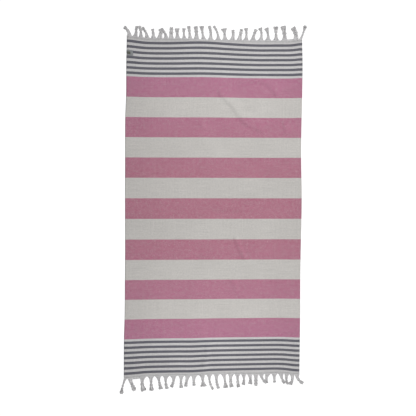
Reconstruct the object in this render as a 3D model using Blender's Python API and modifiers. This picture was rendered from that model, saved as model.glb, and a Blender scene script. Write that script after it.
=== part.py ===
# A flat-woven cotton beach towel laid out flat, with twisted tassels along both ends.
# Metres, +Z up. X runs across the towel and Y along it. The origin is on the floor, at the middle of
# the towel's outline, and every piece rests on the plane z = 0.

import math
from bisect import bisect
from collections import namedtuple

import bmesh
import bpy
from mathutils import Vector

# The woven cloth. "Across" runs from 0 at the left selvedge to 1 at the right one, "along" from the
# cloth's middle, up to half its length at the top end.
CLOTH_LENGTH = 1.70
CLOTH_MIDDLE_Y = 0.0092 # the bottom fringe reaches further than the top one
CLOTH_THICKNESS = 0.0014
GAP = 0.0003            # between pieces that touch
CELLS_ALONG = 44        # the cells across are one for each tassel
LEFT_LONGER = 0.0073    # how much more of each half the left selvedge takes than the right one
WAVE_REACH = 0.18       # the waves of an end die away over this length

# The selvedges, which lean a little and aren't straight.
Selvedge = namedtuple("Selvedge", "along left right")
SELVEDGES = (
    Selvedge(-0.85, -0.4625, 0.4355),
    Selvedge(-0.66, -0.4615, 0.4380),
    Selvedge(-0.54, -0.4580, 0.4395),
    Selvedge(-0.37, -0.4565, 0.4400),
    Selvedge(-0.21, -0.4555, 0.4425),
    Selvedge(0.03, -0.4560, 0.4475),
    Selvedge(0.28, -0.4555, 0.4445),
    Selvedge(0.45, -0.4550, 0.4470),
    Selvedge(0.57, -0.4505, 0.4500),
    Selvedge(0.73, -0.4495, 0.4520),
    Selvedge(0.85, -0.4470, 0.4500),
)

# The hem past the last stripe is a little longer at the top's left corner, and more so at its right.
TopHem = namedtuple("TopHem", "left right")
TOP_HEM_EXTRA = TopHem(0.0015, 0.0080)

# Both ends run out further on the left, and wave in and out.
END_TAPER = {"top": 0.0144, "bottom": 0.0216}
EndWave = namedtuple("EndWave", "end across spread out")
END_WAVES = (
    EndWave("top", 0.00, 0.07, 0.0102),
    EndWave("top", 0.42, 0.10, 0.0093),
    EndWave("top", 1.00, 0.07, 0.0099),
    EndWave("bottom", 0.00, 0.07, -0.0101),
    EndWave("bottom", 0.20, 0.10, -0.0016),
    EndWave("bottom", 0.42, 0.10, -0.0027),
    EndWave("bottom", 1.00, 0.07, -0.0178),
)

# Where the cloth stands off the floor: broad low swells, and sharper creases left by its folding.
Swell = namedtuple("Swell", "x y reach_x reach_y rise")
SWELLS = (
    Swell(-0.13, 0.800, 0.17, 0.10, 0.0022),
    Swell(0.33, 0.760, 0.10, 0.13, 0.0018),
    Swell(0.20, 0.500, 0.17, 0.12, 0.0020),
    Swell(-0.30, 0.250, 0.12, 0.20, 0.0014),
    Swell(0.17, -0.060, 0.16, 0.10, 0.0016),
    Swell(0.02, -0.330, 0.20, 0.12, 0.0013),
    Swell(-0.20, -0.790, 0.16, 0.09, 0.0020),
    Swell(0.24, -0.800, 0.15, 0.08, 0.0016),
)
Crease = namedtuple("Crease", "half_width rise path")
CREASES = (
    Crease(0.016, 0.0012, ((0.068, 0.835), (0.053, 0.762), (0.037, 0.701), (0.027, 0.615))),
    Crease(0.018, 0.0038, ((0.027, 0.615), (0.048, 0.568), (0.083, 0.537), (0.135, 0.466),
                           (0.165, 0.435), (0.237, 0.404))),
    Crease(0.018, 0.0026, ((0.186, 0.650), (0.247, 0.634), (0.293, 0.609), (0.324, 0.583))),
    Crease(0.015, 0.0012, ((0.216, 0.558), (0.247, 0.517))),
    Crease(0.015, 0.0020, ((0.022, -0.005), (0.114, -0.008), (0.206, -0.005), (0.247, 0.006))),
    Crease(0.015, 0.0018, ((0.114, -0.168), (0.145, -0.230), (0.175, -0.250))),
    Crease(0.016, 0.0018, ((-0.029, -0.690), (-0.045, -0.762), (-0.060, -0.828))),
)
CREASE_FADE = 0.045                 # a crease rises to its height over this length at each end
FINE_REACHES = (0.040, 0.020)       # the cells are halved within each of these of a crease

# The fringe: one backing strip at each end, and a tassel of twisted yarn for each bunch of warps.
STRIP_WIDTH = 0.0040
STRIP_THICKNESS = 0.0014
ROOT_HALF_WIDTH = 0.0180            # half of the fan of yarns where a tassel starts
ROOT_MARGIN = 0.0012                # between that fan and the middle of the space between tassels
FAN_LENGTH = 0.020                  # from the strip to the neck, where the twist starts
STEM_HALF_WIDTH = 0.0052
STEM_TO_ROOT = 0.85                 # a tassel of few warps is no wider than this share of its root
STEM_HALF_DEPTH = 0.0034
STEM_FLATNESS = 0.70                # its height over its width, as it sags where it lies
HALF_TURN = 0.0125                  # length of stem for each half turn of the two plies
STEPS_IN_HALF_TURN = 3
BRUSH_FROM = 0.0130                 # a loose end wider than this spreads as a flat brush
BRUSH_HALF_DEPTH = 0.0018
FanSection = namedtuple("FanSection", "share spread half_depth")   # spread is 1 at the root's width
FAN_SECTIONS = (
    FanSection(0.33, 0.45, 0.0012),
    FanSection(0.66, 0.14, 0.0019),
)
LooseSection = namedtuple("LooseSection", "share spread")   # spread is 1 at the loose end's width
BRUSH_SECTIONS = (LooseSection(0.30, 0.55), LooseSection(0.70, 1.0), LooseSection(1.0, 0.95))
BLUNT_SECTIONS = (LooseSection(1.0, 1.0),)
Tassel = namedtuple("Tassel", "root lean bow length end_width loose")   # root from the left corner
TASSELS = {
    "top": (
        Tassel(0.013, -0.025, 0.008, 0.048, 0.0115, 0.008),
        Tassel(0.044, 0.003, 0.003, 0.050, 0.0115, 0.008),
        Tassel(0.073, -0.001, 0.000, 0.048, 0.011, 0.008),
        Tassel(0.103, -0.018, 0.007, 0.048, 0.0115, 0.008),
        Tassel(0.137, -0.005, 0.001, 0.049, 0.011, 0.008),
        Tassel(0.167, 0.006, 0.004, 0.050, 0.011, 0.010),
        Tassel(0.203, -0.0175, 0.006, 0.043, 0.0115, 0.008),
        Tassel(0.227, 0.002, 0.000, 0.061, 0.0165, 0.030),
        Tassel(0.260, -0.003, 0.000, 0.053, 0.0215, 0.019),
        Tassel(0.295, -0.002, -0.002, 0.051, 0.0165, 0.015),
        Tassel(0.324, -0.008, 0.001, 0.061, 0.0167, 0.026),
        Tassel(0.356, -0.005, 0.003, 0.060, 0.0187, 0.030),
        Tassel(0.394, -0.010, -0.002, 0.061, 0.0225, 0.022),
        Tassel(0.428, -0.007, 0.005, 0.064, 0.010, 0.014),
        Tassel(0.468, -0.024, 0.007, 0.067, 0.010, 0.008),
        Tassel(0.502, -0.006, 0.0015, 0.053, 0.028, 0.020),
        Tassel(0.541, 0.001, 0.003, 0.052, 0.0115, 0.008),
        Tassel(0.576, 0.012, 0.000, 0.053, 0.0115, 0.022),
        Tassel(0.609, 0.000, 0.003, 0.059, 0.0175, 0.015),
        Tassel(0.646, 0.017, -0.003, 0.055, 0.0115, 0.008),
        Tassel(0.685, -0.004, 0.006, 0.062, 0.018, 0.016),
        Tassel(0.722, -0.010, 0.005, 0.062, 0.022, 0.020),
        Tassel(0.764, -0.002, 0.000, 0.071, 0.0225, 0.030),
        Tassel(0.808, -0.009, 0.002, 0.071, 0.0245, 0.040),
        Tassel(0.866, -0.017, 0.005, 0.060, 0.0245, 0.030),
        Tassel(0.8915, 0.0225, 0.001, 0.070, 0.018, 0.024),
    ),
    "bottom": (
        Tassel(0.007, -0.019, -0.003, 0.070, 0.0175, 0.024),
        Tassel(0.030, 0.026, 0.001, 0.056, 0.0215, 0.027),
        Tassel(0.097, 0.007, -0.005, 0.067, 0.025, 0.037),
        Tassel(0.139, 0.0035, 0.000, 0.067, 0.0205, 0.031),
        Tassel(0.177, 0.013, 0.000, 0.060, 0.0195, 0.024),
        Tassel(0.216, 0.0065, -0.004, 0.060, 0.0165, 0.024),
        Tassel(0.254, -0.012, 0.006, 0.052, 0.0115, 0.008),
        Tassel(0.295, 0.000, -0.002, 0.058, 0.0175, 0.026),
        Tassel(0.328, -0.0115, -0.001, 0.052, 0.0115, 0.010),
        Tassel(0.359, 0.001, -0.001, 0.047, 0.0115, 0.008),
        Tassel(0.402, 0.006, 0.000, 0.053, 0.029, 0.021),
        Tassel(0.438, 0.020, -0.007, 0.070, 0.010, 0.026),
        Tassel(0.475, 0.011, -0.005, 0.067, 0.011, 0.012),
        Tassel(0.512, 0.010, 0.001, 0.066, 0.0235, 0.026),
        Tassel(0.548, 0.004, -0.003, 0.064, 0.0187, 0.034),
        Tassel(0.582, 0.006, -0.002, 0.065, 0.0175, 0.030),
        Tassel(0.613, -0.002, 0.003, 0.054, 0.0175, 0.024),
        Tassel(0.644, 0.002, 0.003, 0.051, 0.0205, 0.021),
        Tassel(0.677, -0.001, -0.001, 0.061, 0.0185, 0.030),
        Tassel(0.702, 0.0155, -0.006, 0.037, 0.011, 0.008),
        Tassel(0.736, -0.002, -0.003, 0.048, 0.0155, 0.018),
        Tassel(0.770, 0.002, -0.001, 0.047, 0.010, 0.008),
        Tassel(0.805, 0.014, -0.004, 0.049, 0.0115, 0.012),
        Tassel(0.834, 0.003, -0.004, 0.048, 0.011, 0.008),
        Tassel(0.861, -0.009, 0.005, 0.048, 0.011, 0.008),
        Tassel(0.887, 0.029, -0.0065, 0.041, 0.0115, 0.008),
    ),
}

# The blank label, sewn on near the left selvedge. Each corner is a place on the cloth.
LABEL_THICKNESS = 0.0010
LABEL_CELLS = (4, 4)
LABEL_CORNERS = {"left": -0.4455, "right": -0.4145, "low": 0.7880, "high": 0.8180}
LABEL_SLANT = 0.0040                # its right side is this much lower than its left side

COLOURS = {
    "cloth": (0.51, 0.28, 0.34, 1.0),
    "fringe": (0.45, 0.44, 0.43, 1.0),
    "label": (0.25, 0.26, 0.27, 1.0),
}


def clear_scene():
    for thing in list(bpy.data.objects):
        bpy.data.objects.remove(thing, do_unlink=True)


def make_material(name, colour):
    material = bpy.data.materials.new(name)
    material.use_nodes = True
    shader = material.node_tree.nodes["Principled BSDF"]
    shader.inputs["Base Color"].default_value = colour
    shader.inputs["Roughness"].default_value = 0.92
    shader.inputs["Metallic"].default_value = 0.0
    material.diffuse_color = colour
    return material


def make_object(name, mesh, material, collection, parent):
    data = bpy.data.meshes.new(name)
    mesh.to_mesh(data)
    mesh.free()
    data.materials.append(material)
    thing = bpy.data.objects.new(name, data)
    thing.parent = parent
    collection.objects.link(thing)
    return thing


def smooth_step(share):
    share = min(max(share, 0.0), 1.0)
    return share * share * (3 - 2 * share)


def selvedges_at(along):
    """The x of the left and the right selvedge, on a smooth curve through the table's rows."""
    rows = SELVEDGES
    last = len(rows) - 1
    start = min(max(bisect([row.along for row in rows], along) - 1, 0), last - 1)
    before, low = rows[max(start - 1, 0)], rows[start]
    high, after = rows[start + 1], rows[min(start + 2, last)]
    span = high.along - low.along
    t = (along - low.along) / span

    def value(side):
        slope_low = (getattr(high, side) - getattr(before, side)) / (high.along - before.along)
        slope_high = (getattr(after, side) - getattr(low, side)) / (after.along - low.along)
        return (
            (2 * t**3 - 3 * t**2 + 1) * getattr(low, side)
            + (t**3 - 2 * t**2 + t) * span * slope_low
            + (3 * t**2 - 2 * t**3) * getattr(high, side)
            + (t**3 - t**2) * span * slope_high
        )

    return value("left"), value("right")


def end_shift(end, across):
    """How far the threads at one end lie from a straight line, towards +Y."""
    outward = 1 if end == "top" else -1
    waves = sum(
        row.out * math.exp(-(((across - row.across) / row.spread) ** 2))
        for row in END_WAVES
        if row.end == end
    )
    return waves + outward * END_TAPER[end] * (0.5 - across)


def end_along(end, across):
    """Where the weave ends, from the cloth's middle."""
    if end == "bottom":
        return -CLOTH_LENGTH / 2
    extra = TOP_HEM_EXTRA.left + (TOP_HEM_EXTRA.right - TOP_HEM_EXTRA.left) * across**2
    return CLOTH_LENGTH / 2 + extra


def cloth_place(across, along):
    """The x and y of a point of the cloth."""
    half = CLOTH_LENGTH / 2
    left, right = selvedges_at(along)
    y = CLOTH_MIDDLE_Y + along + LEFT_LONGER * (0.5 - across) * along / half
    y += end_shift("top", across) * math.exp(-(half - along) / WAVE_REACH)
    y += end_shift("bottom", across) * math.exp(-(half + along) / WAVE_REACH)
    return left + across * (right - left), y


def crease_distance(crease, x, y):
    """How far a point is from a crease, and how far along it from its nearer end."""
    point = Vector((x, y))
    legs = [(Vector(a), Vector(b)) for a, b in zip(crease.path, crease.path[1:])]
    total = sum((b - a).length for a, b in legs)
    nearest, from_end, travelled = math.inf, 0.0, 0.0
    for a, b in legs:
        leg = b - a
        share = min(max((point - a).dot(leg) / leg.length_squared, 0.0), 1.0)
        distance = (point - a - share * leg).length
        place = travelled + share * leg.length
        if distance < nearest:
            nearest, from_end = distance, min(place, total - place)
        travelled += leg.length
    return nearest, from_end


def lift(x, y):
    """The height of the cloth's lower side over the floor."""
    height = 0.0
    for swell in SWELLS:
        away = ((x - swell.x) / swell.reach_x) ** 2 + ((y - swell.y) / swell.reach_y) ** 2
        height += swell.rise * max(1 - away, 0.0) ** 2
    for crease in CREASES:
        distance, from_end = crease_distance(crease, x, y)
        ridge = max(1 - (distance / crease.half_width) ** 2, 0.0) ** 2
        height += crease.rise * ridge * (0.25 + 0.75 * smooth_step(from_end / CREASE_FADE))
    return height


def end_width(end):
    left, right = selvedges_at(CLOTH_LENGTH / 2 if end == "top" else -CLOTH_LENGTH / 2)
    return right - left


def space_middles(end):
    """Across shares of the selvedges and of the middles of the spaces between an end's tassels."""
    roots = [row.root / end_width(end) for row in TASSELS[end]]
    return [0.0] + [(a + b) / 2 for a, b in zip(roots, roots[1:])] + [1.0]


def make_cloth(material, collection, parent):
    """One sheet with its hems. Its columns run from the spaces between the tassels of one end to
    those of the other end, so that the fringes' strips can follow its two ends exactly."""
    low, high = space_middles("bottom"), space_middles("top")
    columns = len(low) - 1
    mesh = bmesh.new()
    bmesh.ops.create_grid(mesh, x_segments=columns, y_segments=CELLS_ALONG, size=0.5)
    for vert in mesh.verts:
        column = round((vert.co.x + 0.5) * columns)
        share = vert.co.y + 0.5
        across = low[column] + (high[column] - low[column]) * share
        start, stop = end_along("bottom", across), end_along("top", across)
        vert.co.x, vert.co.y = cloth_place(across, start + (stop - start) * share)
    for reach in FINE_REACHES:
        near = []
        for edge in mesh.edges:
            middle = (edge.verts[0].co + edge.verts[1].co) / 2
            if any(crease_distance(crease, *middle.xy)[0] < reach for crease in CREASES):
                near.append(edge)
        bmesh.ops.subdivide_edges(mesh, edges=near, cuts=1, use_grid_fill=True)
    for vert in mesh.verts:
        vert.co.z = lift(*vert.co.xy)
    cloth = make_object("cloth", mesh, material, collection, parent)
    thickness = cloth.modifiers.new("thickness", "SOLIDIFY")
    thickness.thickness = CLOTH_THICKNESS
    thickness.offset = 1.0
    return cloth


def strip_stations(end):
    """Places along the backing strip, as (across, tassel that starts here or None)."""
    width = end_width(end)
    middles = space_middles(end)
    stations = []
    for row, left, right in zip(TASSELS[end], middles, middles[1:]):
        root = row.root / width
        half = min(ROOT_HALF_WIDTH / width, root - left, right - root) - ROOT_MARGIN / width
        stations += [(left, None), (root - half, row), (root + half, None)]
    return stations + [(1.0, None)]


def rim_place(end, across):
    """A point of the cloth's end, which is straight between the middles of the spaces."""
    middles = space_middles(end)
    place = min(max(bisect(middles, across) - 1, 0), len(middles) - 2)
    left, right = middles[place], middles[place + 1]
    low = Vector(cloth_place(left, end_along(end, left)))
    high = Vector(cloth_place(right, end_along(end, right)))
    return low.lerp(high, (across - left) / (right - left))


def make_strip(mesh, end):
    """The backing strip as a row of four-sided blocks, and the outer face of each tassel's root."""
    outward = 1 if end == "top" else -1
    offsets = (GAP, GAP + STRIP_WIDTH)
    rows, starts = [], []
    for across, tassel in strip_stations(end):
        x, y = rim_place(end, across)
        base = lift(x, y)
        corners = [
            mesh.verts.new((x, y + outward * offset, base + height))
            for offset, height in zip(
                (offsets[0], offsets[1], offsets[1], offsets[0]),
                (0.0, 0.0, STRIP_THICKNESS, STRIP_THICKNESS),
            )
        ]
        rows.append(corners)
        starts.append(tassel)
    mesh.faces.new(rows[0])
    mesh.faces.new(rows[-1])
    roots = []
    for a, b, tassel in zip(rows, rows[1:], starts):
        for k in range(4):
            face = mesh.faces.new((a[k], a[(k + 1) % 4], b[(k + 1) % 4], b[k]))
            if k == 1 and tassel:
                roots.append((face, tassel))
    bmesh.ops.recalc_face_normals(mesh, faces=mesh.faces)
    return roots


def tassel_steps(tassel, root_half):
    """The sections of a tassel past its root: (distance, half width, half depth, roll)."""
    stem = tassel.length - FAN_LENGTH - tassel.loose
    stem_half = min(STEM_HALF_WIDTH, STEM_TO_ROOT * root_half)
    half_turns = max(round(stem / HALF_TURN), 1)
    turned = math.pi * half_turns
    steps = STEPS_IN_HALF_TURN * half_turns
    sections = []
    for row in FAN_SECTIONS:
        half_width = stem_half + (root_half - stem_half) * row.spread
        sections.append((row.share * FAN_LENGTH, half_width, row.half_depth, 0.0))
    for k in range(steps + 1):
        share = k / steps
        sections.append((FAN_LENGTH + stem * share, stem_half, STEM_HALF_DEPTH, turned * share))
    is_brush = tassel.end_width > BRUSH_FROM
    end_depth = BRUSH_HALF_DEPTH if is_brush else STEM_HALF_DEPTH
    for row in BRUSH_SECTIONS if is_brush else BLUNT_SECTIONS:
        distance = FAN_LENGTH + stem + tassel.loose * row.share
        half_width = stem_half + (tassel.end_width / 2 - stem_half) * row.spread
        half_depth = STEM_HALF_DEPTH + (end_depth - STEM_HALF_DEPTH) * row.share
        sections.append((distance, half_width, half_depth, turned))
    return sections


def draw_out_tassel(mesh, face, tassel, end):
    """Draws the root face of a tassel out along the floor, section by section."""
    outward = 1 if end == "top" else -1
    root = face.calc_center_median()
    root_half = max(vert.co.x for vert in face.verts) - root.x
    signs = [
        (1 if vert.co.x > root.x else -1, 1 if vert.co.z > root.z else -1) for vert in face.verts
    ]

    def axis(share):
        sideways = tassel.lean * share + 4 * tassel.bow * share * (1 - share)
        return Vector((root.x + sideways, root.y + outward * tassel.length * share, 0.0))

    for distance, half_width, half_depth, roll in tassel_steps(tassel, root_half):
        share = distance / tassel.length
        forward = (axis(share + 0.02) - axis(share - 0.02)).normalized()
        sideways = Vector((forward.y, -forward.x, 0.0)) * outward
        centre = axis(share)
        hang = max(1 - distance / FAN_LENGTH, 0.0) * lift(root.x, root.y)
        rise, depth = half_width * STEM_FLATNESS * math.sin(roll), half_depth * math.cos(roll)
        centre.z = abs(rise) + abs(depth) + hang
        face = bmesh.ops.extrude_discrete_faces(mesh, faces=[face])["faces"][0]
        for vert, (side, up) in zip(face.verts, signs):
            wide = side * half_width * math.cos(roll) - up * half_depth * math.sin(roll)
            vert.co = centre + sideways * wide + Vector((0.0, 0.0, side * rise + up * depth))


def make_fringe(end, material, collection, parent):
    mesh = bmesh.new()
    for face, tassel in make_strip(mesh, end):
        draw_out_tassel(mesh, face, tassel, end)
    bmesh.ops.triangulate(mesh, faces=mesh.faces, quad_method="SHORT_EDGE")
    return make_object(f"fringe_{end}", mesh, material, collection, parent)


def make_label(material, collection, parent):
    """A small woven label with nothing on it, lying on the cloth."""
    left, right = LABEL_CORNERS["left"], LABEL_CORNERS["right"]
    low, high = LABEL_CORNERS["low"], LABEL_CORNERS["high"]
    mesh = bmesh.new()
    bmesh.ops.create_grid(mesh, x_segments=LABEL_CELLS[0], y_segments=LABEL_CELLS[1], size=0.5)
    for vert in mesh.verts:
        across, up = vert.co.x + 0.5, vert.co.y + 0.5
        x = left + (right - left) * across
        y = low + (high - low) * up - LABEL_SLANT * across
        vert.co = (x, y, lift(x, y) + CLOTH_THICKNESS + GAP)
    label = make_object("label", mesh, material, collection, parent)
    thickness = label.modifiers.new("thickness", "SOLIDIFY")
    thickness.thickness = LABEL_THICKNESS
    thickness.offset = 1.0
    return label


def stand_on_origin(empty, pieces):
    """Moves the whole towel so that the middle of its outline is over the origin."""
    bpy.context.view_layer.update()
    graph = bpy.context.evaluated_depsgraph_get()
    corners = []
    for piece in pieces:
        solid = piece.evaluated_get(graph)
        corners += [solid.matrix_world @ Vector(corner) for corner in solid.bound_box]
    for axis in (0, 1):
        values = [corner[axis] for corner in corners]
        empty.location[axis] = -(min(values) + max(values)) / 2
    empty.location.z = -min(corner.z for corner in corners)
    bpy.context.view_layer.update()


def main():
    clear_scene()
    collection = bpy.data.collections.new("beach_towel")
    bpy.context.scene.collection.children.link(collection)
    towel = bpy.data.objects.new("towel", None)
    collection.objects.link(towel)
    fringe_material = make_material("fringe_yarn", COLOURS["fringe"])
    pieces = [
        make_cloth(make_material("woven_cotton", COLOURS["cloth"]), collection, towel),
        make_fringe("top", fringe_material, collection, towel),
        make_fringe("bottom", fringe_material, collection, towel),
        make_label(make_material("label_tape", COLOURS["label"]), collection, towel),
    ]
    stand_on_origin(towel, pieces)


main()
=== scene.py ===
# A flat-woven cotton beach towel laid out on a pale floor, seen from straight above.

import math
import random

import bmesh
import bpy
import numpy as np
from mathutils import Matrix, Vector


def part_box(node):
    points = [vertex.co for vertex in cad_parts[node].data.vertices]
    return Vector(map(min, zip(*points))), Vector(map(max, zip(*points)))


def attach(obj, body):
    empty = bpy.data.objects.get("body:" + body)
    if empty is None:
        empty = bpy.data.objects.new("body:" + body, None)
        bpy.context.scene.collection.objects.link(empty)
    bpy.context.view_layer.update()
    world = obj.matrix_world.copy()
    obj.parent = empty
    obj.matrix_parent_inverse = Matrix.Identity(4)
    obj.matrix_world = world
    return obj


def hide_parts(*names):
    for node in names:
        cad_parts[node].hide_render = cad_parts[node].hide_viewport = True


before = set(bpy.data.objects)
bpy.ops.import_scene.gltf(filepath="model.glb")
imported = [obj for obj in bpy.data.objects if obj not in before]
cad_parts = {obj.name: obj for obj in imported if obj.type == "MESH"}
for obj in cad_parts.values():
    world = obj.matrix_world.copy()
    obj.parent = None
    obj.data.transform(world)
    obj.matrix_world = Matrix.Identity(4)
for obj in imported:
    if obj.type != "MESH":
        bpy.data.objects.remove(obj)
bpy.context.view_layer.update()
print("frame loaded:", ", ".join(sorted(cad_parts)))

# The tables below count from a point on the cloth, and the part stands with its outline's middle on
# the origin. The label's box tells how far the one lies from the other.
labelCorner = (-0.4455, 0.8180)  # its upper left corner, as the tables count
labelLow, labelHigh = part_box("label")
shift = np.array([labelLow.x - labelCorner[0], labelHigh.y - labelCorner[1], 0.0])


# How the cloth lies. Across runs from 0 at the left selvedge to 1 at the right one, along runs from
# the cloth's middle up to its top end.
lay = {
    "half": 0.85,
    "middleY": 0.0092,
    "leftLonger": 0.0069,  # each half takes this much more at the left selvedge
    "waveReach": 0.18,  # the waves of an end die away over this length
    "selvedges": (  # along, left, right
        (-0.85, -0.4625, 0.4355),
        (-0.66, -0.4615, 0.4380),
        (-0.54, -0.4580, 0.4395),
        (-0.37, -0.4565, 0.4400),
        (-0.21, -0.4555, 0.4425),
        (0.03, -0.4560, 0.4475),
        (0.28, -0.4555, 0.4445),
        (0.45, -0.4550, 0.4470),
        (0.57, -0.4505, 0.4500),
        (0.73, -0.4495, 0.4520),
        (0.85, -0.4470, 0.4500),
    ),
    "taper": {"top": 0.0094, "bottom": 0.0149},
    "waves": {  # across, spread, how far towards +Y
        "top": (
            (0.00, 0.075, 0.0108),
            (0.43, 0.14, 0.0077),
            (0.75, 0.12, -0.0033),
            (1.00, 0.044, 0.0086),
        ),
        "bottom": (
            (0.00, 0.115, -0.0112),
            (0.24, 0.12, -0.0034),
            (0.39, 0.072, -0.0046),
            (1.00, 0.077, -0.0136),
        ),
    },
    "hem": {  # how much deeper it is all along, then across, spread and how much deeper there
        "top": (0.0074, (0.46, 0.13, -0.0092), (0.80, 0.15, 0.0030)),
        "bottom": (-0.0016, (0.78, 0.14, 0.0060)),
    },
    "swells": (  # x, y, reach in x and in y, rise
        (-0.13, 0.800, 0.17, 0.10, 0.0022),
        (0.33, 0.760, 0.10, 0.13, 0.0018),
        (0.20, 0.500, 0.17, 0.12, 0.0020),
        (-0.30, 0.250, 0.12, 0.20, 0.0014),
        (0.17, -0.060, 0.16, 0.10, 0.0016),
        (0.02, -0.330, 0.20, 0.12, 0.0013),
        (-0.20, -0.790, 0.16, 0.09, 0.0020),
        (0.24, -0.800, 0.15, 0.08, 0.0016),
    ),
    # rise, how wide the steep side is, which lies to the right along the path, how wide the other is, path
    "creases": (
        (0.0010, 0.020, 0.030, ((0.068, 0.845), (0.053, 0.762), (0.037, 0.701), (0.030, 0.605))),
        (
            0.0056,
            0.020,
            0.055,
            (
                (0.024, 0.632),
                (0.036, 0.592),
                (0.065, 0.562),
                (0.094, 0.531),
                (0.121, 0.493),
                (0.150, 0.457),
                (0.174, 0.434),
                (0.211, 0.421),
                (0.262, 0.394),
            ),
        ),
        (
            0.0064,
            0.018,
            0.045,
            ((0.172, 0.660), (0.225, 0.659), (0.260, 0.650), (0.286, 0.629), (0.312, 0.599), (0.345, 0.566)),
        ),
        (0.0020, 0.015, 0.030, ((0.195, 0.570), (0.216, 0.556), (0.240, 0.532), (0.256, 0.510))),
        (0.0044, 0.018, 0.032, ((0.355, 0.470), (0.361, 0.436), (0.368, 0.400), (0.380, 0.370))),
        (0.0038, 0.015, 0.030, ((-0.095, 0.470), (-0.078, 0.446), (-0.058, 0.424), (-0.045, 0.395))),
        (0.0050, 0.016, 0.030, ((-0.010, 0.000), (0.060, 0.002), (0.150, 0.000), (0.230, 0.004))),
        (
            0.0050,
            0.017,
            0.019,
            ((0.100, -0.120), (0.115, -0.158), (0.133, -0.202), (0.155, -0.245), (0.180, -0.275)),
        ),
        (0.0030, 0.016, 0.028, ((0.080, -0.330), (0.092, -0.365), (0.110, -0.402), (0.125, -0.440))),
        (0.0034, 0.018, 0.030, ((-0.020, -0.650), (-0.033, -0.700), (-0.046, -0.762), (-0.062, -0.845))),
    ),
    "creaseFade": 0.045,
    "ripples": 14,  # faint ones laid over each other, so that no part of the cloth is dead flat
    "rippleSeed": 11,
    "rippleLengths": (0.07, 0.26),
    "rippleRise": 0.00016,
}


def easeIn(share):
    share = np.clip(share, 0.0, 1.0)
    return share * share * (3 - 2 * share)


def selvedgeX(along, side):  # side is 1 for the left selvedge and 2 for the right one
    rows = np.array(lay["selvedges"])
    at, value = rows[:, 0], rows[:, side]
    before, after = np.maximum(np.arange(len(at)) - 1, 0), np.minimum(np.arange(len(at)) + 1, len(at) - 1)
    slope = (value[after] - value[before]) / (at[after] - at[before])
    low = np.clip(np.searchsorted(at, along, side="right") - 1, 0, len(at) - 2)
    span = at[low + 1] - at[low]
    t = (along - at[low]) / span
    return (
        (2 * t**3 - 3 * t**2 + 1) * value[low]
        + (t**3 - 2 * t**2 + t) * span * slope[low]
        + (3 * t**2 - 2 * t**3) * value[low + 1]
        + (t**3 - t**2) * span * slope[low + 1]
    )


def humps(rows, at):  # the sum of some smooth rises, each given as a place, a spread and a height
    return sum(rise * np.exp(-(((at - middle) / spread) ** 2)) for middle, spread, rise in rows)


def endShift(end, across):
    outward = 1 if end == "top" else -1
    return humps(lay["waves"][end], across) + outward * lay["taper"][end] * (0.5 - across)


def endAlong(end, across):
    deeper, *rows = lay["hem"][end]
    return (lay["half"] + deeper + humps(rows, across)) * (1 if end == "top" else -1)


def clothPlace(across, along):
    half = lay["half"]
    left, right = selvedgeX(along, 1), selvedgeX(along, 2)
    y = lay["middleY"] + along + lay["leftLonger"] * (0.5 - across) * along / half
    y = y + endShift("top", across) * np.exp(-(half - along) / lay["waveReach"])
    y = y + endShift("bottom", across) * np.exp(-(half + along) / lay["waveReach"])
    return left + across * (right - left), y


def creaseDistance(path, x, y):  # how far from the crease, less than 0 on its right, and how far along it
    legs = [(np.array(a), np.array(b)) for a, b in zip(path, path[1:])]
    total = sum(np.linalg.norm(b - a) for a, b in legs)
    nearest, fromEnd, travelled = np.full(x.shape, np.inf), np.zeros(x.shape), 0.0
    for a, b in legs:
        length = np.linalg.norm(b - a)
        share = np.clip(((x - a[0]) * (b - a)[0] + (y - a[1]) * (b - a)[1]) / length**2, 0.0, 1.0)
        distance = np.hypot(x - a[0] - share * (b - a)[0], y - a[1] - share * (b - a)[1])
        side = np.sign((b - a)[0] * (y - a[1]) - (b - a)[1] * (x - a[0]))
        place = travelled + share * length
        closer = distance < np.abs(nearest)
        nearest = np.where(closer, side * distance, nearest)
        fromEnd = np.where(closer, np.minimum(place, total - place), fromEnd)
        travelled += length
    return nearest, fromEnd


def lift(x, y):  # height of the cloth's lower side over the floor
    height = np.zeros(x.shape)
    for atX, atY, reachX, reachY, rise in lay["swells"]:
        away = ((x - atX) / reachX) ** 2 + ((y - atY) / reachY) ** 2
        height += rise * np.maximum(1 - away, 0.0) ** 2
    for rise, steep, gentle, path in lay["creases"]:
        distance, fromEnd = creaseDistance(path, x, y)
        ridge = np.maximum(1 - (distance / np.where(distance < 0, steep, gentle)) ** 2, 0.0) ** 2
        height += rise * ridge * easeIn(fromEnd / lay["creaseFade"])
    chance = random.Random(lay["rippleSeed"])
    for _ in range(lay["ripples"]):
        length, turn = chance.uniform(*lay["rippleLengths"]), chance.uniform(0, math.pi)
        phase = chance.uniform(0, 2 * math.pi)
        wave = np.sin((x * math.cos(turn) + y * math.sin(turn)) * 2 * math.pi / length + phase)
        height += lay["rippleRise"] * (1 + wave) / 2
    return height


def liftAt(x, y):
    return float(lift(np.array([float(x)]), np.array([float(y)]))[0])


# The order of the wefts, counted from the cloth's middle to either end.
weft = {
    "bandEdge": 0.0509,
    "bandPitch": 0.1018,
    "bands": 7,  # changes between pink and ground
    "firstStripe": 0.6824,
    "stripePitch": 0.02505,
    "stripeHalf": 0.0062,
    "stripes": 7,
    "stripeRise": 0.00022,  # the charcoal picks are beaten in closer, and stand a little proud
    # Their order is regular, and the cloth is stretched a little here and there, so they are shifted:
    "bandShift": 0.0029,
    "bandStretch": ((-0.30, 0.36, -0.0141),),  # a place, a spread and a further shift there
    "stripeShift": {"top": (0.0001, 0.0199), "bottom": (0.0015, 0.0175)},  # at the first, then for each m
    "shiftChange": 0.012,  # the one shift goes over into the other in this length
    "reach": 0.90,  # of the table that finds a weft by its place
    "steps": 7201,
}


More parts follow.
